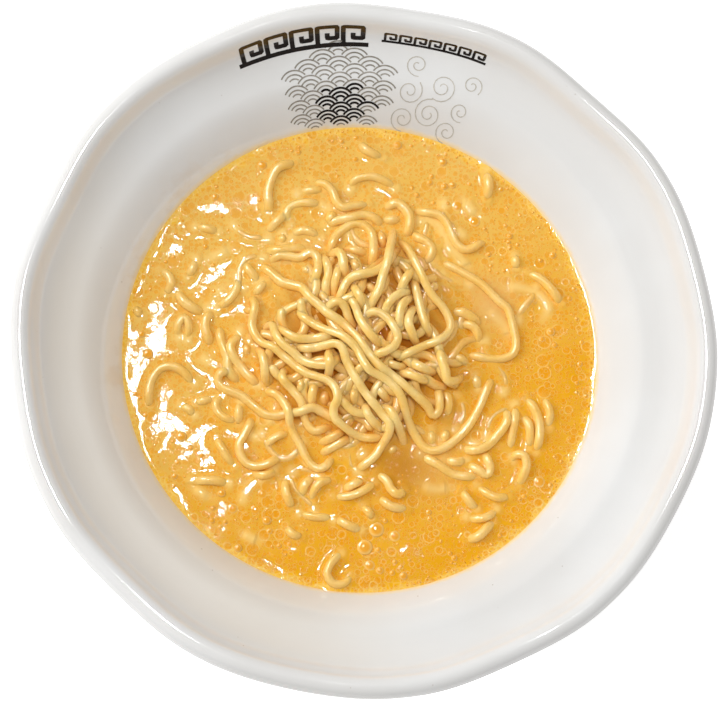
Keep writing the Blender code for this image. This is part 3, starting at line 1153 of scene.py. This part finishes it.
def make_camera():
    camera = bpy.data.cameras.new("camera")
    camera.lens = CAMERA_LENS
    camera.sensor_width = 36
    camera.clip_start = 0.01
    holder = bpy.data.objects.new("camera", camera)
    back = TOWARDS_CAMERA.normalized()
    up = (Vector((0, 1, 0)) - back.y * back).normalized()
    right = up.cross(back)
    holder.matrix_world = Matrix.Translation(CAMERA_TARGET + CAMERA_DISTANCE * back) @ Matrix(
        (right, up, back)).transposed().to_4x4()
    bpy.context.scene.collection.objects.link(holder)
    bpy.context.scene.camera = holder


def make_world():
    """A white surround: full strength to the camera, dimmer and a warmer white as light, dim in gloss."""
    world = bpy.data.worlds.new("surround")
    world.use_nodes = True
    n = Nodes(world.node_tree, "Background")
    rays = n.new("LightPath").outputs
    tone = n.mix(rays["Is Camera Ray"], (1, 0.99, 0.975, 1), (1, 1, 1, 1))
    lit = n.ramp(rays["Is Camera Ray"], 0, 1, 0.56, 1)
    n.feed(n.last, Color=tone, Strength=n.ramp(rays["Is Glossy Ray"], 0, 1, lit, 0.2))
    bpy.context.scene.world = world


def make_room():
    """The surround, a big softbox low at the left, a small card over the glaze, and a pale floor."""
    make_world()
    softbox = area_light("softbox", (-1.22, 0.3, 0.75), (0, 0, 0.06), (1.1, 1.1), 14.5)
    softbox.visible_glossy = False
    area_light("gloss_card", (-0.026, 0.2, 1.06), (-0.05, 0, 0.06), (0.05, 0.1), 2.4)
    s = Shader("pale_floor", Roughness=0.8)
    colour = s.mix(s.noise(3), (0.93, 0.93, 0.93, 1), (0.9, 0.9, 0.9, 1))
    glow = s.math("MULTIPLY_ADD", s.new("LightPath").outputs["Is Camera Ray"], 0.42, 0.1)
    mesh = bpy.data.meshes.new("floor")
    corners = [(-3, -3, 0), (3, -3, 0), (3, 3, 0), (-3, 3, 0)]
    mesh.from_pydata(corners, [], [(0, 1, 2, 3)])
    mesh.materials.append(s.finish(Base_Color=colour, Emission_Color=(1, 1, 1, 1), Emission_Strength=glow))
    floor = bpy.data.objects.new("floor", mesh)
    bpy.context.scene.collection.objects.link(floor)
    bpy.context.scene.view_settings.view_transform = "Standard"


# ---- putting it together


def main():
    make_camera()
    make_room()
    make_bowl()
    broth_skin = broth_material()
    make_core(broth_skin)

    rng = np.random.default_rng(7)
    pile = Pile()
    lay_filler(pile, rng)
    for block in (NEST_UNDER, NEST_MIDDLE, NEST_OVER):
        for route in parse(block):
            pile.drape(route)
    afloat = [float_line(route, rng, rng.uniform(-0.9, -0.1)) for route in parse(AFLOAT)]
    sunk = [float_line(route, rng, 1.75) for route in parse(SUNK)]
    ghosts = lay_ghosts(np.random.default_rng(31))

    noodle_skin = noodle_material()
    vertices, faces, painted_shade = tubes(pile.lines, painted_pile_shade(pile.lines), rng)
    nest = new_piece("nest_noodles", vertices, faces, noodle_skin, {"painted_shade": painted_shade})
    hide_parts("noodle_heap")
    # Strands in the broth get no painted shade, and the ghosts a little, as they lie under the broth.
    depth = [np.full(len(line), 0) for line in [*afloat, *sunk]]
    depth += [np.full(len(line), 0.2) for line in ghosts]
    vertices, faces, painted_shade = tubes([*afloat, *sunk, *ghosts], depth, rng)
    floating = new_piece("floating_noodles", vertices, faces, noodle_skin, {"painted_shade": painted_shade})
    make_broth(broth_skin, afloat, [*sunk, *ghosts])
    bubbles = make_bubbles(np.vstack([*afloat, *sunk]))
    make_wet_light((nest, floating, bubbles))
    make_print()


main()
